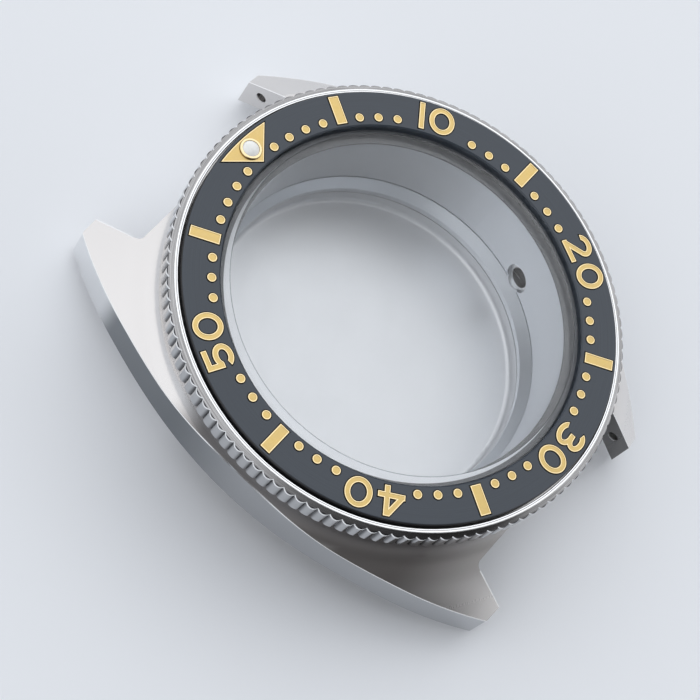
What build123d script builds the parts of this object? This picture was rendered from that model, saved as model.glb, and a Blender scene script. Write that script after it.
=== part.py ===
from build123d import *
import math
import os

# Empty diver's watch case with a turning bezel. Millimetres.
# The origin is on the case axis, on the outer face of the case back.
# +Z points out of the crystal, +Y to twelve o'clock and +X to three o'clock.

os.makedirs("parts", exist_ok=True)

# Fits and gaps
thread_clearance = 0.05
seal_clearance = 0.05
inlay_gap = 0.09
bezel_lift = 0.16
bezel_bore_clearance = 0.15
cut_overrun = 1.0

# Bezel ring: its grip is the size that the other radii follow
tooth_count = 120
tooth_tip_radius = 19.97
tooth_depth = 0.21
bezel_height = 2.08
bezel_foot_chamfer = 0.08
bezel_crown_chamfer = 0.09
bezel_ledge_width = 0.54
bezel_ledge_fall = 0.17
lip_width = 0.31
lip_height = 0.05
lip_edge_chamfer = 0.05
lip_line_width = 0.05
lip_line_depth = 0.05
insert_seat_depth = 0.63

# Insert and its glue
insert_side_gap = 0.12
insert_width = 3.22
insert_thickness = 1.0
insert_edge_chamfer = 0.12
adhesive_thickness = 0.08
adhesive_margin = 0.15

# Figures let into the insert
inlay_depth = 0.25
inlay_rise = 0.05
rim_width = 0.07
field_depth = 0.03
figure_outer_margin = 0.32
figure_inner_margin = 0.36
bar_width = 0.92
dot_radius = 0.37
dot_margin = 0.39
digit_stroke = 0.47
digit_gap = 0.45
triangle_half_width = 2.8
pearl_margin = 1.08
cup_radius = 0.94
cup_wall = 0.2
cup_floor = 0.08
cup_rise = 0.2
cup_gap = 0.025
cup_edge_chamfer = 0.04
pearl_dome_height = 0.28
pearl_rise = 0.12

# Ring wall under the bezel, neck round the crystal
grip_overhang = 0.52
ring_wall_height = 2.67
ring_cove_radius = 1.65
neck_inset = 1.17
neck_wall = 1.0
neck_rise = 1.49

# Ratchet under the bezel and the spring below it
ratchet_inset = 0.8
ratchet_width = 0.75
ratchet_depth = 0.25
ratchet_fill_share = 0.9
spring_slot_margin = 0.15
spring_slot_depth = 0.5
spring_thickness = 0.2
spring_side_gap = 0.08
blade_count = 3
blade_length = 2.4
blade_width = 0.55
blade_tip_bite = 0.12
blade_tip_gap = 0.06

# Retaining ring of the bezel
retainer_bite = 0.23
retainer_width = 0.7
retainer_height = 0.3
retainer_rise = 0.35

# Crystal and its seal
crystal_seat_depth = 0.75
crystal_seat_width = 1.21
crystal_seal_width = 1.05
crystal_seal_foot = 0.17
crystal_seal_wall = 0.3
crystal_seal_rise = 0.85
crystal_thickness = 1.88
crystal_bevel = 0.6

# Movement space
dial_bevel_width = 0.64
dial_bevel_height = 0.95
dial_line_depth = 0.1
dial_line_width = 0.12
dial_line_rise = 0.1
movement_wall = 1.2
movement_ledge_height = 0.6
thread_end_gap = 0.1

# Case back
back_flange_width = 1.3
back_flange_thickness = 0.95
back_edge_chamfer = 0.25
back_floor_thickness = 1.3
back_floor_fillet = 0.4
back_spigot_height = 1.7
wrench_slot_count = 6
wrench_slot_width = 2.4
wrench_slot_reach = 0.9
wrench_slot_depth = 0.5

# Back seal
back_seal_inset = 0.65
back_seal_width = 0.5
back_seal_height = 0.42

# Case body
case_base_margin = 0.4
case_tub_width = 1.8
case_top_height = 7.19
case_side_inset = 0.41
case_side_radius = 37.2
flank_height = 3.2
shoulder_start_inset = 0.1
shoulder_arc_radius = 4.2
shoulder_slope = 36.1
turned_overhang = 4.55
lug_overhang = 2.98
lug_tip_radius = 0.4
lug_gap = 20.1
strap_wall_inset = 0.55
strap_corner_radius = 0.5

# Spring bar holes
spring_bar_radius = 0.5
spring_bar_depth = 1.3
spring_bar_inset = 1.65
spring_bar_height = 4.0

# Crown tube
crown_angle = -22.75
crown_height = 5.5
tube_radius = 1.3
tube_bore_radius = 0.95
tube_inner_gap = 0.26
tube_proud = 1.92
tube_seal_sink = 0.63
tube_seat_radius = 1.52
tube_seal_radius = 1.48
tube_seal_length = 0.5
tube_lip_chamfer = 0.15

# Minutes that carry each kind of figure
numeral_minutes = range(10, 60, 10)
bar_minutes = range(5, 60, 10)
beside_numerals = {minute + side for minute in numeral_minutes for side in (-1, 1)}
dot_minutes = [minute for minute in range(1, 60) if minute % 5 != 0 and minute not in beside_numerals]

# Strokes of each digit as shares of its height, about its middle.
# A bar runs from one point to another; an oval has its middle, width, height and
# the two angles between which it is open.
digit_width_shares = {"0": 0.91, "1": 0.187, "2": 0.84, "3": 0.88, "4": 0.90, "5": 0.80}
digit_stroke_shares = {
    "0": [("oval", 0.0, 0.0, 0.91, 1.0, 0, 0)],
    "1": [("bar", 0.0, -0.5, 0.0, 0.5)],
    "2": [
        ("oval", -0.03, 0.18, 0.80, 0.64, 172, 322),
        ("bar", 0.21, 0.045, -0.325, -0.42),
        ("bar", -0.40, -0.406, 0.42, -0.406),
    ],
    "3": [
        ("oval", -0.01, 0.217, 0.79, 0.566, 165, 268),
        ("oval", 0.0, -0.186, 0.88, 0.628, 92, 196),
        ("bar", -0.12, 0.03, 0.06, 0.03),
    ],
    "4": [
        ("bar", 0.147, -0.5, 0.147, 0.5),
        ("bar", -0.45, -0.18, 0.45, -0.18),
        ("bar", 0.145, 0.50, -0.375, -0.195),
    ],
    "5": [
        ("bar", -0.37, 0.405, 0.31, 0.405),
        ("bar", -0.285, 0.5, -0.285, -0.10),
        ("oval", 0.0, -0.165, 0.80, 0.67, 162, 204),
    ],
}

# Radii worked inwards and outwards from the grip
tooth_valley_radius = tooth_tip_radius - tooth_depth
bezel_crown_radius = tooth_tip_radius - bezel_crown_chamfer
lip_outer_radius = tooth_tip_radius - bezel_ledge_width
lip_inner_radius = lip_outer_radius - lip_width
insert_outer_radius = lip_inner_radius - insert_side_gap
insert_inner_radius = insert_outer_radius - insert_width
figure_outer_radius = insert_outer_radius - figure_outer_margin
figure_inner_radius = insert_inner_radius + figure_inner_margin
figure_height = figure_outer_radius - figure_inner_radius
figure_radius = (figure_outer_radius + figure_inner_radius) / 2
dot_circle_radius = figure_inner_radius + dot_margin
pearl_circle_radius = figure_outer_radius - pearl_margin
ring_wall_radius = tooth_tip_radius - grip_overhang
neck_radius = insert_inner_radius + neck_inset
neck_bore_radius = neck_radius - neck_wall
retainer_inner_radius = neck_radius - retainer_bite
retainer_outer_radius = retainer_inner_radius + retainer_width
ratchet_inner_radius = neck_radius + ratchet_inset
ratchet_outer_radius = ratchet_inner_radius + ratchet_width
spring_slot_inner_radius = ratchet_inner_radius - spring_slot_margin
spring_slot_outer_radius = ratchet_outer_radius + spring_slot_margin
crystal_radius = neck_bore_radius - crystal_seal_wall
crystal_seal_inner_radius = neck_bore_radius - crystal_seal_width
dial_radius = neck_bore_radius - crystal_seat_width
movement_radius = dial_radius - dial_bevel_width
thread_radius = movement_radius + movement_wall
back_seal_radius = thread_radius + back_seal_inset
back_flange_radius = thread_radius + back_flange_width
case_base_radius = back_flange_radius + case_base_margin
case_tub_radius = case_base_radius + case_tub_width
case_half_width = tooth_tip_radius - case_side_inset
case_side_centre = case_half_width - case_side_radius
shoulder_start_radius = tooth_tip_radius - shoulder_start_inset
lug_reach = tooth_tip_radius + lug_overhang
turned_radius = lug_reach + turned_overhang
strap_wall_reach = ring_wall_radius - strap_wall_inset
spring_bar_reach = lug_reach - spring_bar_inset

# Distances along the crown axis, from where it leaves the flank
crown_cosine = math.cos(math.radians(crown_angle))
crown_sine = math.sin(math.radians(crown_angle))
flank_chord = math.sqrt(case_side_radius**2 - (case_side_centre * crown_sine) ** 2)
flank_reach = case_side_centre * crown_cosine + flank_chord
tube_inner_reach = dial_radius + tube_inner_gap
tube_outer_reach = flank_reach + tube_proud
tube_seat_reach = flank_reach - tube_seal_sink

# Heights worked out from the sizes above
case_bottom_z = back_flange_thickness
thread_top_z = back_flange_thickness + back_spigot_height + thread_end_gap
movement_top_z = thread_top_z + movement_ledge_height
dial_bore_z = movement_top_z + dial_bevel_height
shelf_z = case_top_height + ring_wall_height
neck_top_z = shelf_z + neck_rise
bezel_bottom_z = shelf_z + bezel_lift
bezel_top_z = bezel_bottom_z + bezel_height
insert_seat_z = bezel_top_z + lip_height - insert_seat_depth
insert_bottom_z = insert_seat_z + adhesive_thickness
insert_top_z = insert_bottom_z + insert_thickness
inlay_floor_z = insert_top_z - inlay_depth
crystal_seat_z = neck_top_z - crystal_seat_depth
crystal_bottom_z = crystal_seat_z + crystal_seal_foot


def disc(radius, low_z, high_z):
    """A round plate between two heights."""
    return Pos(0, 0, low_z) * extrude(Circle(radius), high_z - low_z)


def ring(outer, inner, low_z, high_z):
    """A flat ring between two heights."""
    return Pos(0, 0, low_z) * extrude(Circle(outer) - Circle(inner), high_z - low_z)


def turned(points):
    """A body turned about the case axis from points of radius and height."""
    return revolve(Plane.XZ * make_face(Polyline(*points, close=True)), Axis.Z)


def on_arc(centre, radius, angle):
    """The point of a circle at an angle in degrees."""
    turn = math.radians(angle)
    return (centre[0] + radius * math.cos(turn), centre[1] + radius * math.sin(turn))


def bend(centre, radius, start, end):
    """An arc from one angle to another, in degrees."""
    middle = (start + end) / 2
    return ThreePointArc(
        on_arc(centre, radius, start),
        on_arc(centre, radius, middle),
        on_arc(centre, radius, end),
    )


def at_minute(minute, radius, arc_offset=0.0):
    """A place on the dial circle, turned so that +Y points outwards."""
    angle = 90 - 6 * minute - math.degrees(arc_offset / radius)
    x, y = on_arc((0, 0), radius, angle)
    return Pos(x, y, 0) * Rot(0, 0, angle - 90)


def shoulder_line(drop):
    """The sloping top in section, from the flat ring outwards, lowered by a drop."""
    centre = (shoulder_start_radius, case_top_height - drop - shoulder_arc_radius)
    end = on_arc(centre, shoulder_arc_radius, 90 - shoulder_slope)
    fall = (turned_radius - end[0]) * math.tan(math.radians(shoulder_slope))
    return centre, end, (turned_radius, end[1] - fall)


def case_section():
    """Half section of the turned case: neck, ring wall, cove, sloping top and underside."""
    top_centre, top_end, top_rim = shoulder_line(0)
    low_centre, low_end, low_rim = shoulder_line(flank_height)
    cove_x = ring_wall_radius + ring_cove_radius
    reach = shoulder_arc_radius + ring_cove_radius
    cove_z = top_centre[1] + math.sqrt(reach**2 - (cove_x - top_centre[0]) ** 2)
    cove_centre = (cove_x, cove_z)
    to_cove = math.degrees(math.atan2(cove_z - top_centre[1], cove_x - top_centre[0]))
    low_flat = (case_tub_radius, low_centre[1] + shoulder_arc_radius)
    edges = [
        Polyline(
            (neck_bore_radius, crystal_seat_z),
            (neck_bore_radius, neck_top_z),
            (neck_radius, neck_top_z),
            (neck_radius, shelf_z),
            (ring_wall_radius, shelf_z),
            (ring_wall_radius, cove_z),
        ),
        bend(cove_centre, ring_cove_radius, 180, 180 + to_cove),
        bend(top_centre, shoulder_arc_radius, to_cove, 90 - shoulder_slope),
        Polyline(top_end, top_rim, low_rim, low_end),
        bend(low_centre, shoulder_arc_radius, 90 - shoulder_slope, 90),
        Polyline(
            on_arc(low_centre, shoulder_arc_radius, 90),
            low_flat,
            (case_base_radius, case_bottom_z),
            (thread_radius, case_bottom_z),
            (thread_radius, thread_top_z),
            (movement_radius, thread_top_z),
            (movement_radius, movement_top_z),
            (dial_radius, dial_bore_z),
            (dial_radius, crystal_seat_z),
            (neck_bore_radius, crystal_seat_z),
        ),
    ]
    return revolve(Plane.XZ * make_face(edges), Axis.Z)


def case_plan():
    """Plan of the case: two long side arcs, cut straight across the lug ends."""
    lean = math.degrees(math.asin(lug_reach / case_side_radius))
    right = bend((case_side_centre, 0), case_side_radius, -lean, lean)
    left = bend((-case_side_centre, 0), case_side_radius, 180 - lean, 180 + lean)
    edges = [right, Line(right @ 1, left @ 0), left, Line(left @ 1, right @ 0)]
    face = make_face(edges)
    return fillet(face.vertices(), lug_tip_radius)


def strap_gap(side):
    """The space between two lugs, on the twelve (1) or six (-1) o'clock side."""
    depth = turned_radius - strap_wall_reach
    middle = strap_wall_reach + depth / 2
    plan = Pos(0, side * middle, 0) * RectangleRounded(lug_gap, depth, strap_corner_radius)
    return extrude(plan, shelf_z + cut_overrun)


def spring_bar_holes():
    """Four blind holes in the inner faces of the lugs."""
    holes = []
    for x_side in (-1, 1):
        for y_side in (-1, 1):
            x = x_side * (lug_gap / 2 + spring_bar_depth / 2)
            place = Pos(x, y_side * spring_bar_reach, spring_bar_height) * Rot(0, 90, 0)
            holes.append(place * Cylinder(spring_bar_radius, spring_bar_depth))
    return holes


def along_crown(radius, inner_reach, outer_reach):
    """A round bar on the crown axis, between two distances from the case axis."""
    length = outer_reach - inner_reach
    place = Rot(0, 0, crown_angle) * Pos(inner_reach + length / 2, 0, crown_height)
    return place * Rot(0, 90, 0) * Cylinder(radius, length)


def build_mid_case():
    """The steel middle case."""
    solid = case_section()
    solid &= extrude(case_plan(), shelf_z + neck_rise + cut_overrun)
    solid -= strap_gap(1)
    solid -= strap_gap(-1)
    solid -= spring_bar_holes()
    solid -= along_crown(tube_radius, dial_radius / 2, turned_radius)
    solid -= along_crown(tube_seat_radius, tube_seat_reach - tube_seal_length, turned_radius)
    line_low = dial_bore_z + dial_line_rise
    line_top = line_low + dial_line_width
    solid -= ring(dial_radius + dial_line_depth, dial_radius - cut_overrun, line_low, line_top)
    spring_floor = shelf_z - spring_slot_depth
    solid -= ring(spring_slot_outer_radius, spring_slot_inner_radius, spring_floor, shelf_z + cut_overrun)
    groove_inner = retainer_inner_radius - seal_clearance
    groove_low = shelf_z + retainer_rise - seal_clearance
    groove_high = shelf_z + retainer_rise + retainer_height + seal_clearance
    solid -= ring(neck_radius + cut_overrun, groove_inner, groove_low, groove_high)
    half = back_seal_width / 2 + seal_clearance
    seal_top = case_bottom_z + back_seal_height + seal_clearance
    solid -= ring(back_seal_radius + half, back_seal_radius - half, case_bottom_z - cut_overrun, seal_top)
    return solid


def build_case_back():
    """The screwed back: flange, threaded spigot and slots for a wrench."""
    spigot_radius = thread_radius - thread_clearance
    spigot_top = back_flange_thickness + back_spigot_height
    rim = back_flange_radius - back_edge_chamfer
    corner = (movement_radius - back_floor_fillet, back_floor_thickness + back_floor_fillet)
    edges = [
        Polyline(
            (0, back_floor_thickness),
            (0, 0),
            (rim, 0),
            (back_flange_radius, back_edge_chamfer),
            (back_flange_radius, back_flange_thickness),
            (spigot_radius, back_flange_thickness),
            (spigot_radius, spigot_top),
            (movement_radius, spigot_top),
            on_arc(corner, back_floor_fillet, 0),
        ),
        bend(corner, back_floor_fillet, 0, -90),
        Line(on_arc(corner, back_floor_fillet, -90), (0, back_floor_thickness)),
    ]
    solid = revolve(Plane.XZ * make_face(edges), Axis.Z)
    slot = Box(wrench_slot_reach * 2, wrench_slot_width, wrench_slot_depth * 2)
    for index in range(wrench_slot_count):
        solid -= Rot(0, 0, index * 360 / wrench_slot_count) * Pos(back_flange_radius, 0, 0) * slot
    return solid


def build_case_back_gasket():
    """The ring seal that lies on the flange of the back."""
    half = back_seal_width / 2
    top = back_flange_thickness + back_seal_height
    return ring(back_seal_radius + half, back_seal_radius - half, back_flange_thickness, top)


def build_crown_tube():
    """The tube that the crown's stem passes through."""
    tube = along_crown(tube_radius, tube_inner_reach, tube_outer_reach)
    outer_edge = tube.edges().filter_by(GeomType.CIRCLE).sort_by(Axis.X)[-1]
    tube = chamfer(outer_edge, tube_lip_chamfer)
    return tube - along_crown(tube_bore_radius, dial_radius / 2, turned_radius)


def build_crown_tube_gasket():
    """The ring seal round the tube, in its seat in the flank."""
    seat_floor = tube_seat_reach - tube_seal_length
    seal = along_crown(tube_seal_radius, seat_floor, tube_seat_reach)
    return seal - along_crown(tube_radius, dial_radius, turned_radius)


def build_crystal():
    """The flat crystal with its bevelled top edge."""
    top = crystal_bottom_z + crystal_thickness
    return turned(
        [
            (0, crystal_bottom_z),
            (crystal_radius, crystal_bottom_z),
            (crystal_radius, top - crystal_bevel),
            (crystal_radius - crystal_bevel, top),
            (0, top),
        ]
    )


def build_crystal_gasket():
    """The L-shaped seal: a foot under the crystal and a wall round it."""
    wall_inner = crystal_radius
    wall_outer = neck_bore_radius
    foot_top = crystal_seat_z + crystal_seal_foot
    wall_top = crystal_seat_z + crystal_seal_rise
    return turned(
        [
            (crystal_seal_inner_radius, crystal_seat_z),
            (wall_outer, crystal_seat_z),
            (wall_outer, wall_top),
            (wall_inner, wall_top),
            (wall_inner, foot_top),
            (crystal_seal_inner_radius, foot_top),
        ]
    )


def tooth_outline():
    """Plan of the grip edge: rounded teeth that meet in sharp valleys."""
    step = 360 / tooth_count
    teeth = []
    for index in range(tooth_count):
        start = on_arc((0, 0), tooth_valley_radius, index * step)
        tip = on_arc((0, 0), tooth_tip_radius, (index + 0.5) * step)
        end = on_arc((0, 0), tooth_valley_radius, (index + 1) * step)
        teeth.append(ThreePointArc(start, tip, end))
    return make_face(teeth)


def ratchet_notches():
    """Saw-tooth notches under the bezel, one for each click."""
    pitch = 2 * math.pi * ratchet_inner_radius / tooth_count
    run = pitch * ratchet_fill_share
    width = ratchet_outer_radius - ratchet_inner_radius
    low = bezel_bottom_z - ratchet_depth
    saw = Plane.YZ * make_face(
        Polyline((0, low), (run, bezel_bottom_z), (0, bezel_bottom_z + ratchet_depth), close=True)
    )
    notch = Pos(ratchet_inner_radius, 0, 0) * extrude(saw, width)
    return [Rot(0, 0, index * 360 / tooth_count) * notch for index in range(tooth_count)]


def build_bezel_ring():
    """The turning ring: grip teeth, polished lip, seat for the insert, ratchet."""
    bore = neck_radius + bezel_bore_clearance
    far = tooth_tip_radius + cut_overrun
    foot = tooth_tip_radius - bezel_foot_chamfer
    line_outer = lip_outer_radius + lip_line_width
    crown_z = bezel_top_z - bezel_ledge_fall
    lip_z = bezel_top_z + lip_height
    line_z = bezel_top_z - lip_line_depth
    section = turned(
        [
            (bore, bezel_bottom_z),
            (foot, bezel_bottom_z),
            (far, bezel_bottom_z + far - foot),
            (far, crown_z - (far - bezel_crown_radius)),
            (bezel_crown_radius, crown_z),
            (line_outer, bezel_top_z),
            (line_outer, line_z),
            (lip_outer_radius, line_z),
            (lip_outer_radius, lip_z),
            (lip_inner_radius + lip_edge_chamfer, lip_z),
            (lip_inner_radius, lip_z - lip_edge_chamfer),
            (lip_inner_radius, insert_seat_z),
            (bore, insert_seat_z),
        ]
    )
    grip = extrude(tooth_outline(), bezel_top_z + cut_overrun)
    solid = section & grip
    groove_low = shelf_z + retainer_rise - seal_clearance
    groove_high = shelf_z + retainer_rise + retainer_height + seal_clearance
    solid -= ring(retainer_outer_radius + seal_clearance, bore - cut_overrun, groove_low, groove_high)
    solid -= ratchet_notches()
    return solid


def build_bezel_gasket():
    """The retaining ring, half in the neck and half in the bezel."""
    low = shelf_z + retainer_rise
    return ring(retainer_outer_radius, retainer_inner_radius, low, low + retainer_height)


def build_click_spring():
    """The ring spring with blades that rise into the ratchet."""
    floor = shelf_z - spring_slot_depth
    inner = spring_slot_inner_radius + spring_side_gap
    outer = spring_slot_outer_radius - spring_side_gap
    solid = ring(outer, inner, floor, floor + spring_thickness)
    tip_z = bezel_bottom_z + blade_tip_bite
    blade_run = make_face(
        Polyline(
            (blade_length, floor),
            (blade_length - spring_thickness, floor),
            (blade_tip_gap, tip_z - spring_thickness),
            (blade_tip_gap, tip_z),
            close=True,
        )
    )
    middle = (inner + outer) / 2
    blade = Pos(middle - blade_width / 2, 0, 0) * extrude(Plane.YZ * blade_run, blade_width)
    for index in range(blade_count):
        solid += Rot(0, 0, index * 360 / blade_count) * blade
    return solid


def digit_face(digit, grow):
    """One digit as a flat face, its strokes widened on every side by a margin."""
    size = figure_height
    stroke = digit_stroke + 2 * grow
    face = None
    for kind, *shares in digit_stroke_shares[digit]:
        if kind == "bar":
            piece = stroke_bar([share * size for share in shares], stroke, grow)
        else:
            piece = stroke_oval([share * size for share in shares[:4]], shares[4:], stroke, grow)
        face = piece if face is None else face + piece
    box = Rectangle(size * 2, size + 2 * grow)
    return face & box


def stroke_bar(ends, stroke, grow):
    """A straight stroke with square ends."""
    x0, y0, x1, y1 = ends
    length = math.hypot(x1 - x0, y1 - y0) + 2 * grow
    angle = math.degrees(math.atan2(y1 - y0, x1 - x0))
    return Pos((x0 + x1) / 2, (y0 + y1) / 2, 0) * Rot(0, 0, angle) * Rectangle(length, stroke)


def stroke_oval(box, opening, stroke, grow):
    """An oval stroke, open between two angles if they differ."""
    x, y, width, height = box
    outer = Ellipse(width / 2 + grow, height / 2 + grow)
    inner = Ellipse(width / 2 + grow - stroke, height / 2 + grow - stroke)
    oval = outer - inner
    start, end = opening
    if end > start:
        reach = width + height
        shrink = math.degrees(grow / (width / 2))
        spread = [start + shrink + (end - start - 2 * shrink) * step / 3 for step in range(4)]
        rim = [on_arc((0, 0), reach, angle) for angle in spread]
        oval -= make_face(Polyline((0, 0), *rim, close=True))
    return Pos(x, y, 0) * oval


def numeral_faces(minute, grow=0.0):
    """The two digits of a numeral, each upright on its own radius."""
    digits = str(minute)
    widths = [digit_width_shares[digit] * figure_height for digit in digits]
    total = sum(widths) + digit_gap
    offsets = (widths[0] / 2 - total / 2, total / 2 - widths[1] / 2)
    return [
        at_minute(minute, figure_radius, offset) * digit_face(digit, grow)
        for digit, offset in zip(digits, offsets)
    ]


def bar_faces(grow=0.0):
    """The bars at the odd fives."""
    shape = Rectangle(bar_width + 2 * grow, figure_height + 2 * grow)
    return [at_minute(minute, figure_radius) * shape for minute in bar_minutes]


def dot_faces(grow=0.0):
    """The dots at the plain minutes."""
    return [at_minute(minute, dot_circle_radius) * Circle(dot_radius + grow) for minute in dot_minutes]


def triangle_face(grow=0.0):
    """The zero mark: two straight sides and a base that follows the rim."""
    outer = figure_outer_radius + grow
    corner_y = math.sqrt(figure_outer_radius**2 - triangle_half_width**2)
    side = math.hypot(triangle_half_width, corner_y - figure_inner_radius)
    apex = figure_inner_radius - grow * side / triangle_half_width
    slope = (corner_y - figure_inner_radius) / triangle_half_width
    corner_x = triangle_half_width * 2
    corner = (corner_x, apex + slope * corner_x)
    plan = make_face(Polyline((0, apex), corner, (-corner[0], corner[1]), close=True))
    return plan & Circle(outer)


def inlay(face, field):
    """A figure standing a little proud of its seat, its field sunk inside a raised rim."""
    solid = Pos(0, 0, inlay_floor_z) * extrude(face, inlay_depth + inlay_rise)
    return solid - Pos(0, 0, insert_top_z + inlay_rise - field_depth) * extrude(field, cut_overrun)


def inlays(faces, fields):
    """Several figures in one piece."""
    return Compound([inlay(face, field) for face, field in zip(faces, fields)])


def seat(face):
    """The pocket in the insert for a figure."""
    return Pos(0, 0, inlay_floor_z) * extrude(face, inlay_depth + cut_overrun)


def build_bezel_insert():
    """The dark ring with its pockets."""
    edge = insert_edge_chamfer
    solid = turned(
        [
            (insert_inner_radius, insert_bottom_z),
            (insert_outer_radius, insert_bottom_z),
            (insert_outer_radius, insert_top_z - edge),
            (insert_outer_radius - edge, insert_top_z),
            (insert_inner_radius + edge, insert_top_z),
            (insert_inner_radius, insert_top_z - edge),
        ]
    )
    pockets = [seat(face) for minute in numeral_minutes for face in numeral_faces(minute, inlay_gap)]
    pockets += [seat(face) for face in bar_faces(inlay_gap)]
    pockets += [seat(face) for face in dot_faces(inlay_gap)]
    pockets.append(seat(triangle_face(inlay_gap)))
    return solid - pockets


def build_insert_adhesive():
    """The glue ring between the insert and its seat."""
    outer = insert_outer_radius - adhesive_margin
    inner = neck_radius + bezel_bore_clearance + adhesive_margin
    return ring(outer, inner, insert_seat_z, insert_bottom_z)


def build_zero_triangle():
    """The gold triangle, with a round opening for the pearl's cup."""
    opening = Pos(0, pearl_circle_radius, 0) * Circle(cup_radius + cup_gap)
    return inlay(triangle_face() - opening, triangle_face(-rim_width) - opening)


def build_pearl_cup():
    """The gold cup."""
    inner = cup_radius - cup_wall
    floor = inlay_floor_z + cup_floor
    top = insert_top_z + cup_rise
    cup = disc(cup_radius, inlay_floor_z, top)
    cup = chamfer(cup.faces().sort_by(Axis.Z)[-1].edges(), cup_edge_chamfer)
    return Pos(0, pearl_circle_radius, 0) * (cup - disc(inner, floor, top + cut_overrun))


def build_lume_pearl():
    """The white pearl: a short stem with a domed top."""
    radius = cup_radius - cup_wall
    floor = inlay_floor_z + cup_floor
    stem_top = insert_top_z + pearl_rise
    crown = (0, stem_top + pearl_dome_height)
    ball = (radius**2 + pearl_dome_height**2) / (2 * pearl_dome_height)
    middle_angle = (90 + math.degrees(math.acos(radius / ball))) / 2
    middle = on_arc((0, crown[1] - ball), ball, middle_angle)
    edges = [
        Polyline((0, crown[1]), (0, floor), (radius, floor), (radius, stem_top)),
        ThreePointArc((radius, stem_top), middle, crown),
    ]
    return Pos(0, pearl_circle_radius, 0) * revolve(Plane.XZ * make_face(edges), Axis.Z)


nodes = {
    "mid_case": build_mid_case(),
    "case_back": build_case_back(),
    "case_back_gasket": build_case_back_gasket(),
    "crown_tube": build_crown_tube(),
    "crown_tube_gasket": build_crown_tube_gasket(),
    "crystal": build_crystal(),
    "crystal_gasket": build_crystal_gasket(),
    "bezel_ring": build_bezel_ring(),
    "bezel_gasket": build_bezel_gasket(),
    "click_spring": build_click_spring(),
    "bezel_insert": build_bezel_insert(),
    "insert_adhesive": build_insert_adhesive(),
    "minute_bars": inlays(bar_faces(), bar_faces(-rim_width)),
    "minute_dots": inlays(dot_faces(), dot_faces(-rim_width)),
    "zero_triangle": build_zero_triangle(),
    "pearl_cup": build_pearl_cup(),
    "lume_pearl": build_lume_pearl(),
}
for minute in numeral_minutes:
    nodes[f"numeral_{minute}"] = inlays(numeral_faces(minute), numeral_faces(minute, -rim_width))

for name, shape in nodes.items():
    export_step(shape, f"parts/{name}.step")
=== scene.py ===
import math

import bpy
import numpy as np
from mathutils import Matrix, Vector


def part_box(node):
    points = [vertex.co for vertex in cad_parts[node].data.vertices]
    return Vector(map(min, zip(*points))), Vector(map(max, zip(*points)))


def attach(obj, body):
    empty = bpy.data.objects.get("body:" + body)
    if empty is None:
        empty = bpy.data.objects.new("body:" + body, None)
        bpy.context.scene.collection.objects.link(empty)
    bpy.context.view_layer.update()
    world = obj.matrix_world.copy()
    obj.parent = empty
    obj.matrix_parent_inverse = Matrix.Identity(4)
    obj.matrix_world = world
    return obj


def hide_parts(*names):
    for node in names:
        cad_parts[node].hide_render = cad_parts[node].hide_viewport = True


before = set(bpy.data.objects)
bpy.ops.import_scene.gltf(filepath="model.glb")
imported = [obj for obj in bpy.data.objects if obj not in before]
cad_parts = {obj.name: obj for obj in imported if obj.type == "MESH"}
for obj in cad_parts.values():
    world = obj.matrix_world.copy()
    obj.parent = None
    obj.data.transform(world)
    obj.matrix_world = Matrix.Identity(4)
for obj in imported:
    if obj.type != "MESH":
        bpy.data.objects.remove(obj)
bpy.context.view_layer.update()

# Heights, radii and places on the case, in metres, as the CAD has them. The crown of the grip teeth
# falls by crown_fall for each metre that it reaches out.
insert_top = 0.0126
side_radius = 0.0372
side_centre = 0.01764
gap_half = 0.01005
lug_start = 0.0195
bore_reach = 0.0157
flank_start = 0.01953
rim_level = 0.012635
lip_level = 0.01212
grip_radius = 0.01997
crown_top = 0.01184
crown_fall = 0.667

# Bands between two radii. In the last one the painted shade in the valleys between the teeth goes from
# faint to full.
lip_groove = (0.01925, 0.01931)
insert_face = (0.0160, 0.0188)
insert_rim = (0.01892, 0.0200)
# A painted dark line of shade on the crystal's top along its bevel's edge.
bevel_shade_line = (0.01501, 0.01507)
valley_shade_band = (0.01994, 0.01979)

# The seal ring's foot, its gap to the glass and its steps in a turn.
seal_width = 0.0012
seal_clearance = 0.00001
seal_steps = 360

# The direction from the case axis to the middle of the cove's painted shade, and the height of a soft level
# step.
painted_cove_shade_middle = (-0.951, -0.309, 0.0)
level_softness = 0.000004

# The camera: its place in metres, its turn in radians, its lens and sensor in millimetres.
camera_place = (-0.0878800, 0.0011831, 0.1381434 + insert_top)
camera_turn = (0.39642479, -0.36021508, -0.8788863)
camera_lens = 103.83
sensor_width = 36.0

floor_colour = (0.845, 0.87, 0.905, 1.0)
floor_level = -0.00001


# Shader building

def new_material(name):
    """An empty material with a Principled shader on its output."""
    material = bpy.data.materials.new(name)
    material.use_nodes = True
    tree = material.node_tree
    tree.nodes.clear()
    output = tree.nodes.new("ShaderNodeOutputMaterial")
    shader = tree.nodes.new("ShaderNodeBsdfPrincipled")
    tree.links.new(shader.outputs["BSDF"], output.inputs["Surface"])
    return material, tree, shader


def put(tree, kind, settings=None, **inputs):
    """A node of a tree with its settings and its inputs, which are values or sockets."""
    node = tree.nodes.new(kind)
    for name, value in (settings or {}).items():
        setattr(node, name, value)
    for name, value in inputs.items():
        key = int(name[1:]) if name[0] == "i" and name[1:].isdigit() else name.replace("_", " ")
        socket = node.inputs[key]
        if isinstance(value, bpy.types.NodeSocket):
            tree.links.new(value, socket)
        else:
            socket.default_value = value
    return node


def maths(tree, operation, *values):
    """A Math node, its result socket."""
    inputs = {"i%d" % i: value for i, value in enumerate(values)}
    return put(tree, "ShaderNodeMath", {"operation": operation}, **inputs).outputs[0]


def soft_step(tree, value, start, end):
    """0 before the start and 1 past the end, with a soft rise between them."""
    return put(tree, "ShaderNodeMapRange", {"interpolation_type": "SMOOTHSTEP"}, Value=value,
               From_Min=start, From_Max=end).outputs["Result"]


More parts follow.
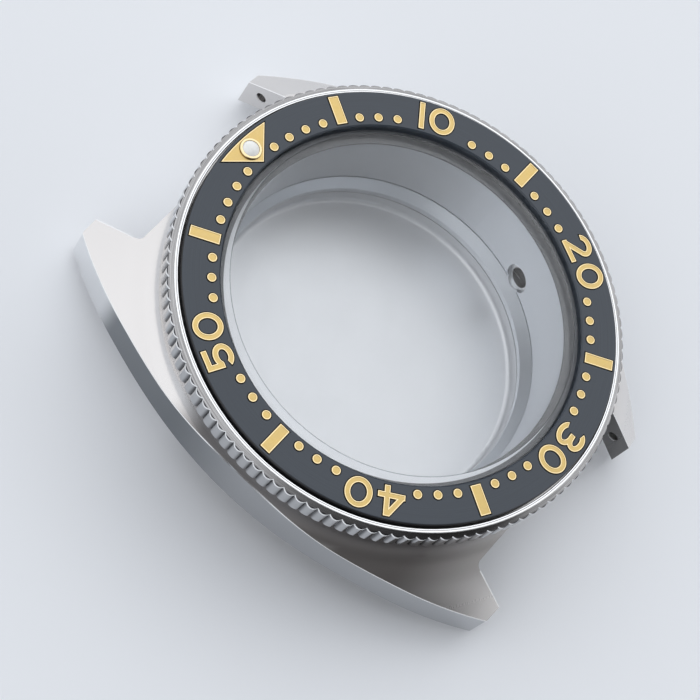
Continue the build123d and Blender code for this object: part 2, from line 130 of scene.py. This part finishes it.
def new_group(name, inputs, outputs):
    """A shader node group with named float, vector or colour sockets."""
    group = bpy.data.node_groups.new(name, "ShaderNodeTree")
    for label, kind, value in inputs:
        socket = group.interface.new_socket(label, in_out="INPUT", socket_type=kind)
        socket.default_value = value
    for label, kind in outputs:
        group.interface.new_socket(label, in_out="OUTPUT", socket_type=kind)
    return group, group.nodes.new("NodeGroupInput"), group.nodes.new("NodeGroupOutput")


def polar_place(tree):
    """A point's coordinates, their level part and its distance from the case axis."""
    place = tree.nodes.new("ShaderNodeTexCoord").outputs["Object"]
    parts = put(tree, "ShaderNodeSeparateXYZ", Vector=place).outputs
    flat = put(tree, "ShaderNodeCombineXYZ", X=parts["X"], Y=parts["Y"]).outputs[0]
    radius = put(tree, "ShaderNodeVectorMath", {"operation": "LENGTH"}, i0=flat).outputs["Value"]
    return parts, flat, radius


def polar_grain():
    """Fine lines turned about the case axis, or running out from it.

    The noise is read at the angle on a circle and at radius plus height, each
    with its own scale: a small ring scale gives turned rings, a large one rays.
    """
    group, given, result = new_group(
        "polar_grain",
        [("Ring Scale", "NodeSocketFloat", 2.0), ("Depth Scale", "NodeSocketFloat", 4000.0)],
        [("Lines", "NodeSocketFloat")],
    )
    parts, flat, radius = polar_place(group)
    out = put(group, "ShaderNodeVectorMath", {"operation": "NORMALIZE"}, i0=flat).outputs["Vector"]
    turned = put(group, "ShaderNodeVectorMath", {"operation": "SCALE"}, i0=out,
                 Scale=given.outputs["Ring Scale"]).outputs["Vector"]
    depth = maths(group, "MULTIPLY", maths(group, "ADD", radius, parts["Z"]), given.outputs["Depth Scale"])
    lift = put(group, "ShaderNodeCombineXYZ", Z=depth).outputs[0]
    spot = put(group, "ShaderNodeVectorMath", {"operation": "ADD"}, i0=turned, i1=lift).outputs["Vector"]
    noise = put(group, "ShaderNodeTexNoise", {"noise_dimensions": "3D"}, Vector=spot, Scale=1.0,
                Detail=4.0, Roughness=0.65)
    group.links.new(noise.outputs["Fac"], result.inputs["Lines"])
    return group


def fine_marks():
    """Cloudy handling marks and small scratches, from no mark (0) to a clear one (1)."""
    group, given, result = new_group(
        "fine_marks", [("Size", "NodeSocketFloat", 0.002)], [("Marks", "NodeSocketFloat")]
    )
    place = group.nodes.new("ShaderNodeTexCoord").outputs["Object"]
    scale = maths(group, "DIVIDE", 1.0, given.outputs["Size"])
    cloud = put(group, "ShaderNodeTexNoise", Vector=place, Scale=scale, Detail=5.0, Roughness=0.6)
    group.links.new(cloud.outputs["Fac"], result.inputs["Marks"])
    return group


def level_mask():
    """1 above a height of the case and 0 below it, with a soft step."""
    group, given, result = new_group(
        "level_mask",
        [("Height", "NodeSocketFloat", 0.0), ("Softness", "NodeSocketFloat", level_softness)],
        [("Above", "NodeSocketFloat")],
    )
    place = group.nodes.new("ShaderNodeTexCoord").outputs["Object"]
    height = put(group, "ShaderNodeSeparateXYZ", Vector=place).outputs["Z"]
    rise = maths(group, "SUBTRACT", height, given.outputs["Height"])
    step = maths(group, "DIVIDE", rise, given.outputs["Softness"])
    above = put(group, "ShaderNodeClamp", Value=maths(group, "ADD", step, 0.5)).outputs[0]
    group.links.new(above, result.inputs["Above"])
    return group


def place_masks():
    """Where a point of the case lies.

    Flank is 1 on upright faces outside the grip and beside the strap gap, and
    Inside is 1 on the bore round the movement. Gap is 1 on the strap side of the
    lugs below six o'clock, where shade is painted. Hollow is 1 in the cove below
    the bezel, on the side of six o'clock. Cove is 1 in it from seven to ten o'clock,
    and fades along the lug at seven; it places painted shade on the case top. Side is
    1 on the flank's lighter end towards twelve o'clock, where a lighter reflection is
    painted, and Shade is 1 on its darker length beside nine and ten, where shade is painted.
    """
    group, given, result = new_group(
        "place_masks",
        [("Inner Radius", "NodeSocketFloat", bore_reach), ("Outer Radius", "NodeSocketFloat", flank_start)],
        [("Flank", "NodeSocketFloat"), ("Inside", "NodeSocketFloat"), ("Gap", "NodeSocketFloat"),
         ("Hollow", "NodeSocketFloat"), ("Cove", "NodeSocketFloat"), ("Side", "NodeSocketFloat"),
         ("Shade", "NodeSocketFloat")],
    )
    place, flat, radius = polar_place(group)
    normal = group.nodes.new("ShaderNodeTexCoord").outputs["Normal"]
    rise = put(group, "ShaderNodeSeparateXYZ", Vector=normal).outputs["Z"]
    upright = maths(group, "LESS_THAN", maths(group, "ABSOLUTE", rise), 0.3)
    outside = maths(group, "GREATER_THAN", radius, given.outputs["Outer Radius"])
    beside = maths(group, "GREATER_THAN", maths(group, "ABSOLUTE", place["X"]), gap_half + 0.00003)
    flank = maths(group, "MULTIPLY", maths(group, "MULTIPLY", upright, outside), beside)
    inside = maths(group, "LESS_THAN", radius, given.outputs["Inner Radius"])
    # Painted shade on the strap side of the lugs below six o'clock.
    lower = maths(group, "LESS_THAN", place["Y"], -lug_start)
    within = maths(group, "SUBTRACT", 1.0, beside)
    gap = maths(group, "MULTIPLY", maths(group, "MULTIPLY", upright, lower), within)
    # Painted shade: a sector of the cove below the bezel, from seven to ten o'clock, and the top of the lug
    # at seven.
    out = put(group, "ShaderNodeVectorMath", {"operation": "NORMALIZE"}, i0=flat).outputs["Vector"]
    lean = put(group, "ShaderNodeVectorMath", {"operation": "DOT_PRODUCT"}, i0=out, i1=painted_cove_shade_middle)
    cove_shade_sector = soft_step(group, lean.outputs["Value"], 0.74, 0.866)
    hollow = soft_step(group, radius, 0.0245, 0.0212)
    close = soft_step(group, radius, 0.0213, 0.0200)
    left = maths(group, "LESS_THAN", place["X"], 0.0)
    tip = soft_step(group, place["Y"], -0.0225, -0.014)
    root = soft_step(group, place["Y"], -0.006, -0.010)
    lug = maths(group, "MULTIPLY", left, maths(group, "MULTIPLY", tip, root))
    cove = maths(group, "MAXIMUM", maths(group, "MULTIPLY", cove_shade_sector, close), lug)
    # Painted reflection and shade on the flank: lighter towards twelve o'clock, darker beside nine and ten
    # o'clock.
    broad = soft_step(group, place["Y"], -0.004, 0.013)
    late = soft_step(group, place["Y"], 0.0154, 0.0178)
    nearer = maths(group, "MULTIPLY", left, maths(group, "SUBTRACT", late, broad))
    side = maths(group, "ADD", broad, nearer)
    shade = maths(group, "MULTIPLY", left, soft_step(group, place["Y"], -0.002, 0.0075))
    below = soft_step(group, place["Y"], -0.001, -0.009)
    group.links.new(maths(group, "MULTIPLY", hollow, below), result.inputs["Hollow"])
    group.links.new(cove, result.inputs["Cove"])
    group.links.new(side, result.inputs["Side"])
    group.links.new(shade, result.inputs["Shade"])
    group.links.new(flank, result.inputs["Flank"])
    group.links.new(inside, result.inputs["Inside"])
    group.links.new(gap, result.inputs["Gap"])
    return group


def facing_mask():
    """1 where a face looks up, 0 where it stands upright."""
    group, given, result = new_group(
        "facing_mask", [("Low", "NodeSocketFloat", 0.3)], [("Up", "NodeSocketFloat")]
    )
    normal = group.nodes.new("ShaderNodeTexCoord").outputs["Normal"]
    rise = put(group, "ShaderNodeSeparateXYZ", Vector=normal).outputs["Z"]
    share = maths(group, "MULTIPLY", maths(group, "SUBTRACT", rise, given.outputs["Low"]), 5.0)
    group.links.new(put(group, "ShaderNodeClamp", Value=share).outputs[0], result.inputs["Up"])
    return group


def edge_lines():
    """Thin lines along edges and between teeth, each 1 on its line, where highlights and shade are painted.

    Crease is where the case top meets the flank, an arc about a point on the far
    side, or the strap gap, and carries a painted highlight. Crown is the top of the grip
    teeth, whose height falls as they reach out, and carries a painted highlight; Valley
    is 1 between two teeth, where painted shade goes. Ring lies between two radii.
    """
    group, given, result = new_group(
        "edge_lines",
        [("Inner", "NodeSocketFloat", 0.0), ("Outer", "NodeSocketFloat", 0.0)],
        [("Crease", "NodeSocketFloat"), ("Crown", "NodeSocketFloat"), ("Valley", "NodeSocketFloat"),
         ("Ring", "NodeSocketFloat")],
    )
    parts, flat, radius = polar_place(group)
    reach = maths(group, "ADD", maths(group, "ABSOLUTE", parts["X"]), side_centre)
    arm = put(group, "ShaderNodeCombineXYZ", X=reach, Y=parts["Y"]).outputs[0]
    side = put(group, "ShaderNodeVectorMath", {"operation": "LENGTH"}, i0=arm).outputs["Value"]
    flank_edge = maths(group, "GREATER_THAN", side, side_radius - 0.00006)
    beside = maths(group, "LESS_THAN", maths(group, "ABSOLUTE", parts["X"]), gap_half + 0.0001)
    lug_side = maths(group, "GREATER_THAN", maths(group, "ABSOLUTE", parts["Y"]), lug_start)
    gap_edge = maths(group, "MULTIPLY", beside, lug_side)
    crease = maths(group, "MAXIMUM", flank_edge, gap_edge)
    slant = maths(group, "ADD", parts["Z"], maths(group, "MULTIPLY", radius, crown_fall))
    crown = maths(group, "GREATER_THAN", slant, crown_top + grip_radius * crown_fall - 0.0002)
    ring = maths(group, "MULTIPLY", maths(group, "GREATER_THAN", radius, given.outputs["Inner"]),
                 maths(group, "LESS_THAN", radius, given.outputs["Outer"]))
    group.links.new(crease, result.inputs["Crease"])
    group.links.new(crown, result.inputs["Crown"])
    group.links.new(soft_step(group, radius, *valley_shade_band), result.inputs["Valley"])
    group.links.new(ring, result.inputs["Ring"])
    return group


polar = polar_grain()
edges = edge_lines()
marks = fine_marks()
level = level_mask()
places = place_masks()
facing = facing_mask()


def spread(tree, value, low, high, start=0.35, end=0.65):
    """A noise value taken to a range."""
    return put(tree, "ShaderNodeMapRange", From_Min=start, From_Max=end, To_Min=low, To_Max=high,
               Value=value).outputs["Result"]


def mixed(tree, share, first, second, kind="FLOAT"):
    """A share of the second value in the first, for numbers, colours or vectors."""
    node = tree.nodes.new("ShaderNodeMix")
    node.data_type = kind
    pick = {"FLOAT": (2, 3, 0), "VECTOR": (4, 5, 1), "RGBA": (6, 7, 2)}[kind]
    sockets = (node.inputs[0], node.inputs[pick[0]], node.inputs[pick[1]])
    for socket, value in zip(sockets, (share, first, second)):
        if isinstance(value, bpy.types.NodeSocket):
            tree.links.new(value, socket)
        else:
            socket.default_value = value
    return node.outputs[pick[2]]


def grain(tree, ring_scale, depth_scale):
    """Lines of the polar grain."""
    return put(tree, "ShaderNodeGroup", {"node_tree": polar}, Ring_Scale=ring_scale,
               Depth_Scale=depth_scale).outputs["Lines"]


def smudges(tree, size):
    """Marks of a size in metres."""
    return put(tree, "ShaderNodeGroup", {"node_tree": marks}, Size=size).outputs["Marks"]


def above(tree, height):
    """1 above a height of the case and 0 below it."""
    return put(tree, "ShaderNodeGroup", {"node_tree": level}, Height=height).outputs["Above"]


def looking_up(tree, low=0.3):
    """1 on faces that look up, from a low limit of their normal's height."""
    return put(tree, "ShaderNodeGroup", {"node_tree": facing}, Low=low).outputs["Up"]


def edge_marks(tree, band=(0.0, 0.0)):
    """The edge lines, with a ring over a band of radii."""
    return put(tree, "ShaderNodeGroup", {"node_tree": edges}, Inner=band[0], Outer=band[1]).outputs


def bump(tree, shader, height, distance):
    """Raises the shader's surface by a height pattern of a depth in metres."""
    node = put(tree, "ShaderNodeBump", Strength=1.0, Distance=distance, Height=height)
    tree.links.new(node.outputs["Normal"], shader.inputs["Normal"])


def metal(name, colour, roughness, anisotropy=0.0):
    """A metal with a plain colour, ready for its grain."""
    material, tree, shader = new_material(name)
    shader.inputs["Base Color"].default_value = (*colour, 1.0)
    shader.inputs["Metallic"].default_value = 1.0
    shader.inputs["Roughness"].default_value = roughness
    shader.inputs["Anisotropic"].default_value = anisotropy
    return material, tree, shader


def turned_steel(name, colour, roughness, ring_scale, depth_scale, relief, vary=0.05):
    """Steel with turned rings or rays, its gloss uneven along them."""
    material, tree, shader = metal(name, colour, roughness)
    lines = grain(tree, ring_scale, depth_scale)
    clouds = spread(tree, smudges(tree, 0.003), 0.0, vary)
    uneven = maths(tree, "ADD", spread(tree, lines, -vary, vary), clouds)
    tree.links.new(maths(tree, "ADD", roughness, uneven), shader.inputs["Roughness"])
    bump(tree, shader, lines, relief)
    return material


def grain_direction(tree):
    """Where the steel's gloss is drawn out: round the case axis, and upwards in the bore."""
    flat, radius = polar_place(tree)[1:]
    upward = put(tree, "ShaderNodeCombineXYZ", Z=1.0).outputs[0]
    turn = put(tree, "ShaderNodeVectorMath", {"operation": "CROSS_PRODUCT"}, i0=upward, i1=flat)
    in_bore = maths(tree, "LESS_THAN", radius, bore_reach)
    return mixed(tree, in_bore, turn.outputs["Vector"], upward, "VECTOR")


def case_finish():
    """Rays brushed out from the axis on top, polished flanks, turned rings inside, with painted shade in
    the cove and on the lugs' strap sides, a painted reflection along the flank and a painted highlight
    along the crease.
    """
    material, tree, shader = metal("case steel", (0.80, 0.79, 0.785), 0.25, 0.5)
    where = put(tree, "ShaderNodeGroup", {"node_tree": places}).outputs
    rays = grain(tree, 500.0, 40.0)
    rings = grain(tree, 1.5, 5000.0)
    lines = mixed(tree, where["Inside"], rays, rings)
    brushed = mixed(tree, where["Hollow"], spread(tree, lines, 0.235, 0.265), 0.62)
    satin = mixed(tree, where["Inside"], brushed, 0.3)
    polish = spread(tree, smudges(tree, 0.0015), 0.05, 0.09)
    tree.links.new(mixed(tree, where["Flank"], satin, polish), shader.inputs["Roughness"])
    # Painted shade: the case top turns dark brown grey in the cove from seven to ten o'clock and along the
    # lug at seven.
    top = mixed(tree, where["Cove"], (0.73, 0.712, 0.70, 1.0), (0.165, 0.155, 0.15, 1.0), "RGBA")
    # Painted reflection and shade on the polished flank: mid grey, painted darker beside nine and ten,
    # painted lighter towards twelve o'clock.
    plain = mixed(tree, where["Shade"], (0.47, 0.48, 0.495, 1.0), (0.20, 0.215, 0.23, 1.0), "RGBA")
    flank = mixed(tree, where["Side"], plain, (0.80, 0.81, 0.82, 1.0), "RGBA")
    outer = mixed(tree, where["Flank"], top, flank, "RGBA")
    # Painted shade: the strap-side faces of the lugs below six o'clock are dark grey.
    outer = mixed(tree, where["Gap"], outer, (0.20, 0.197, 0.195, 1.0), "RGBA")
    tone = mixed(tree, where["Inside"], outer, (0.72, 0.745, 0.78, 1.0), "RGBA")
    # Painted highlight: a pale, barely metallic line along the crease of top and flank and along the strap
    # gap's edges.
    bright = maths(tree, "MULTIPLY", edge_marks(tree)["Crease"], looking_up(tree))
    tree.links.new(mixed(tree, bright, tone, (0.85, 0.86, 0.87, 1.0), "RGBA"), shader.inputs["Base Color"])
    tree.links.new(mixed(tree, bright, 1.0, 0.1), shader.inputs["Metallic"])
    tree.links.new(grain_direction(tree), shader.inputs["Tangent"])
    smooth = maths(tree, "MAXIMUM", where["Flank"], where["Inside"])
    height = maths(tree, "MULTIPLY", lines, maths(tree, "SUBTRACT", 1.0, smooth))
    bump(tree, shader, height, 0.00000015)
    return material


def bezel_finish():
    """Polished steel: a bright lip and a turned ledge below it, with painted shade on the grip teeth, their
    chamfers and the valleys between them, and a painted highlight along their crowns.
    """
    material, tree, shader = metal("bezel polished steel", (0.72, 0.73, 0.74), 0.07)
    up = looking_up(tree)
    lip = above(tree, lip_level)
    rings = grain(tree, 4.0, 30000.0)
    turning = spread(tree, rings, 0.0, 1.0)
    ledge = mixed(tree, turning, (0.26, 0.257, 0.257, 1.0), (0.52, 0.515, 0.515, 1.0), "RGBA")
    top = mixed(tree, lip, ledge, (0.72, 0.73, 0.74, 1.0), "RGBA")
    lines = edge_marks(tree, lip_groove)
    top = mixed(tree, maths(tree, "MULTIPLY", lines["Ring"], lip), top, (0.22, 0.22, 0.23, 1.0), "RGBA")
    # Painted shade: the chamfers between the bezel's top and its grip teeth are near black.
    top = mixed(tree, looking_up(tree, 0.72), (0.075, 0.075, 0.08, 1.0), top, "RGBA")
    # Painted shade: the grip teeth's flanks are darker than the lip, near black in the valleys between the
    # teeth.
    shaded_tooth = mixed(tree, lines["Valley"], (0.56, 0.565, 0.575, 1.0), (0.13, 0.13, 0.135, 1.0), "RGBA")
    # Painted highlight along the crowns of the grip teeth, pale and not metallic on their upright faces.
    grip = mixed(tree, lines["Crown"], shaded_tooth, (0.88, 0.89, 0.90, 1.0), "RGBA")
    tree.links.new(mixed(tree, up, grip, top, "RGBA"), shader.inputs["Base Color"])
    edge = maths(tree, "MULTIPLY", lines["Crown"], maths(tree, "SUBTRACT", 1.0, up))
    tree.links.new(maths(tree, "SUBTRACT", 1.0, edge), shader.inputs["Metallic"])
    turned = mixed(tree, lip, 0.2, spread(tree, smudges(tree, 0.002), 0.05, 0.09))
    tree.links.new(mixed(tree, up, 0.1, turned), shader.inputs["Roughness"])
    bump(tree, shader, rings, 0.0000001)
    return material


def gold_finish():
    """Gold plate with a bright raised rim round a deeper yellow field."""
    material, tree, shader = metal("gold plate", (0.8, 0.6, 0.24), 0.28)
    rim = above(tree, rim_level)
    clouds = spread(tree, smudges(tree, 0.0006), 0.0, 1.0)
    field = mixed(tree, clouds, (0.54, 0.395, 0.152, 1.0), (0.61, 0.454, 0.193, 1.0), "RGBA")
    colour = mixed(tree, rim, field, (0.76, 0.62, 0.37, 1.0), "RGBA")
    tree.links.new(colour, shader.inputs["Base Color"])
    tree.links.new(mixed(tree, rim, spread(tree, clouds, 0.3, 0.4), 0.16), shader.inputs["Roughness"])
    bump(tree, shader, smudges(tree, 0.00008), 0.000003)
    return material


def plain_finish(name, first, second, mark_size, rough, relief=0.0):
    """A moulded, coated or rubber finish of two close tones with a fine surface."""
    material, tree, shader = new_material(name)
    clouds = spread(tree, smudges(tree, mark_size), 0.0, 1.0)
    tree.links.new(mixed(tree, clouds, (*first, 1.0), (*second, 1.0), "RGBA"), shader.inputs["Base Color"])
    tree.links.new(spread(tree, clouds, rough[0], rough[1], 0.0, 1.0), shader.inputs["Roughness"])
    if relief:
        bump(tree, shader, smudges(tree, mark_size / 8), relief)
    return material


def insert_finish():
    """Anodised aluminium, dark blue grey with fine turned rings, black in its pockets and at its rim."""
    material, tree, shader = new_material("insert anodised grey")
    rings = grain(tree, 3.0, 16000.0)
    turning = spread(tree, rings, 0.0, 1.0)
    tone = mixed(tree, turning, (0.033, 0.043, 0.058, 1.0), (0.043, 0.055, 0.071, 1.0), "RGBA")
    sunk = maths(tree, "SUBTRACT", 1.0, above(tree, insert_top - 0.00001))
    pocket = maths(tree, "MULTIPLY", edge_marks(tree, insert_face)["Ring"], sunk)
    edge = edge_marks(tree, insert_rim)["Ring"]
    tone = mixed(tree, edge, tone, (0.004, 0.004, 0.005, 1.0), "RGBA")
    dark = mixed(tree, pocket, tone, (0.012, 0.007, 0.004, 1.0), "RGBA")
    tree.links.new(dark, shader.inputs["Base Color"])
    tree.links.new(spread(tree, rings, 0.34, 0.44), shader.inputs["Roughness"])
    bump(tree, shader, rings, 0.0000008)
    return material


def glass_finish():
    """Clear coated crystal, with a painted dark line of shade along its bevel's edge."""
    material, tree, shader = new_material("crystal glass")
    line = maths(tree, "MULTIPLY", edge_marks(tree, bevel_shade_line)["Ring"], above(tree, insert_top))
    tint = mixed(tree, line, (0.975, 0.985, 0.99, 1.0), (0.3, 0.32, 0.34, 1.0), "RGBA")
    tree.links.new(tint, shader.inputs["Base Color"])
    shader.inputs["Transmission Weight"].default_value = 1.0
    shader.inputs["IOR"].default_value = 1.33
    tree.links.new(spread(tree, smudges(tree, 0.004), 0.0, 0.012), shader.inputs["Roughness"])
    return material


def wear(node, material):
    """Gives a CAD node its material."""
    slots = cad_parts[node].data.materials
    slots.clear()
    slots.append(material)


gold = gold_finish()
rubber = plain_finish("black rubber", (0.012, 0.012, 0.012), (0.03, 0.03, 0.03), 0.0008,
                      (0.45, 0.6), 0.000004)
nylon = plain_finish("dark nylon", (0.015, 0.015, 0.018), (0.03, 0.03, 0.034), 0.0006,
                     (0.35, 0.5), 0.000002)
finishes = {
    "mid_case": case_finish(),
    "case_back": turned_steel("back satin steel", (0.80, 0.81, 0.83), 0.5, 3.0, 5000.0, 0.00000005, 0.012),
    "bezel_ring": bezel_finish(),
    "crown_tube": turned_steel("tube turned steel", (0.62, 0.62, 0.63), 0.2, 2.0, 9000.0, 0.000001),
    "click_spring": turned_steel("spring rolled steel", (0.5, 0.5, 0.52), 0.26, 2.0, 5000.0, 0.0000006),
    "bezel_insert": insert_finish(),
    "insert_adhesive": plain_finish("adhesive film", (0.72, 0.70, 0.62), (0.78, 0.76, 0.70), 0.001,
                                    (0.4, 0.6), 0.000002),
    "lume_pearl": plain_finish("pearl white", (0.84, 0.85, 0.82), (0.90, 0.91, 0.89), 0.0004, (0.12, 0.2)),
    "crystal": glass_finish(),
    "crystal_gasket": plain_finish("grey nylon", (0.17, 0.175, 0.185), (0.21, 0.215, 0.225), 0.0006,
                                   (0.3, 0.4), 0.000001),
    "bezel_gasket": nylon,
    "case_back_gasket": rubber,
    "crown_tube_gasket": rubber,
    "minute_bars": gold,
    "minute_dots": gold,
    "zero_triangle": gold,
    "pearl_cup": gold,
}
finishes.update({"numeral_%d" % minute: gold for minute in range(10, 60, 10)})
for node, finish in finishes.items():
    wear(node, finish)


def seal_ring(finish):
    """The crystal's L-shaped seal, a hair clear of the glass so that light passes between them.

    A closed outline of radius r and height z is turned about the case axis: its
    point at the angle a is (r cos a, r sin a, z).
    """
    low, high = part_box("crystal_gasket")
    glass_low, glass_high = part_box("crystal")
    outer, wall = high[0], glass_high[0] + seal_clearance
    inner, foot = outer - seal_width, glass_low[2] - seal_clearance
    outline = np.array([
        (inner, low[2]), (outer, low[2]), (outer, high[2]), (wall, high[2]), (wall, foot), (inner, foot),
    ])
    angles = np.linspace(0, 2 * np.pi, seal_steps, endpoint=False)
    around, along = np.meshgrid(angles, np.arange(len(outline)), indexing="ij")
    radius, height = outline[along, 0], outline[along, 1]
    points = np.stack([radius * np.cos(around), radius * np.sin(around), height], axis=-1).reshape(-1, 3)
    spots = np.arange(around.size).reshape(around.shape)
    onward, upward = np.roll(spots, -1, axis=0), np.roll(spots, -1, axis=1)
    faces = np.stack([spots, onward, np.roll(onward, -1, axis=1), upward], axis=-1).reshape(-1, 4)
    mesh = bpy.data.meshes.new("crystal_seal_ring")
    mesh.from_pydata(points.tolist(), [], faces.tolist())
    mesh.materials.append(finish)
    ring = bpy.data.objects.new("crystal_seal_ring", mesh)
    bpy.context.scene.collection.objects.link(ring)
    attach(ring, "case")
    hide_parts("crystal_gasket")


seal_ring(finishes["crystal_gasket"])


# Floor, lights and camera

def pale_floor():
    """A wide plain floor under the case."""
    reach = 3.0
    mesh = bpy.data.meshes.new("floor")
    square = [(-reach, -reach), (reach, -reach), (reach, reach), (-reach, reach)]
    corners = [(x, y, floor_level) for x, y in square]
    mesh.from_pydata(corners, [], [(0, 1, 2, 3)])
    floor = bpy.data.objects.new("floor", mesh)
    bpy.context.scene.collection.objects.link(floor)
    material, tree, shader = new_material("pale floor")
    shader.inputs["Base Color"].default_value = floor_colour
    shader.inputs["Roughness"].default_value = 0.7
    mesh.materials.append(material)


def towards(azimuth, elevation):
    """The unit direction at an azimuth and an elevation in degrees."""
    turn, lift = math.radians(azimuth), math.radians(elevation)
    return (math.cos(lift) * math.cos(turn), math.cos(lift) * math.sin(turn), math.sin(lift))


def studio_world(base, patches):
    """An even pale room with soft bright and dark patches.

    Each patch is a direction, the angles at which it is full and gone, and the
    light that it adds or takes away.
    """
    world = bpy.data.worlds.new("studio")
    bpy.context.scene.world = world
    world.use_nodes = True
    tree = world.node_tree
    look = tree.nodes.new("ShaderNodeTexCoord").outputs["Generated"]
    total = base
    for azimuth, elevation, full, gone, light in patches:
        near = put(tree, "ShaderNodeVectorMath", {"operation": "DOT_PRODUCT"}, i0=look,
                   i1=towards(azimuth, elevation)).outputs["Value"]
        share = put(tree, "ShaderNodeMapRange", {"interpolation_type": "SMOOTHSTEP"}, Value=near,
                    From_Min=math.cos(math.radians(gone)), From_Max=math.cos(math.radians(full)),
                    To_Min=0.0, To_Max=light).outputs["Result"]
        total = maths(tree, "ADD", total, share)
    total = maths(tree, "MAXIMUM", total, 0.02)
    background = tree.nodes["Background"]
    background.inputs["Color"].default_value = (0.955, 0.97, 1.0, 1.0)
    tree.links.new(total, background.inputs["Strength"])


def soft_lamp(name, azimuth, elevation, distance, size, radiance):
    """A square lamp that faces the case, its power worked out from how bright it looks."""
    lamp = bpy.data.lights.new(name, "AREA")
    lamp.size = size
    lamp.energy = radiance * math.pi * size * size
    obj = bpy.data.objects.new(name, lamp)
    bpy.context.scene.collection.objects.link(obj)
    centre = Vector((0, 0, 0.008))
    place = centre + Vector(towards(azimuth, elevation)) * distance
    obj.location = place
    obj.rotation_euler = (centre - place).to_track_quat("-Z", "Y").to_euler()


def photo_camera():
    """The camera where the photograph was taken from."""
    view = bpy.data.cameras.new("camera")
    view.lens = camera_lens
    view.sensor_width = sensor_width
    view.clip_start = 0.005
    camera = bpy.data.objects.new("camera", view)
    bpy.context.scene.collection.objects.link(camera)
    camera.location = camera_place
    camera.rotation_euler = camera_turn
    bpy.context.scene.camera = camera


pale_floor()
studio_world(1.1, [
    (130, 45, 15, 60, 0.1),
    (241, 43, 25, 44, -0.97),
    (298, 58, 10, 26, -0.8),
])
soft_lamp("key lamp", 5, 60, 0.6, 0.5, 0.5)
photo_camera()
bpy.context.scene.view_settings.view_transform = "Standard"
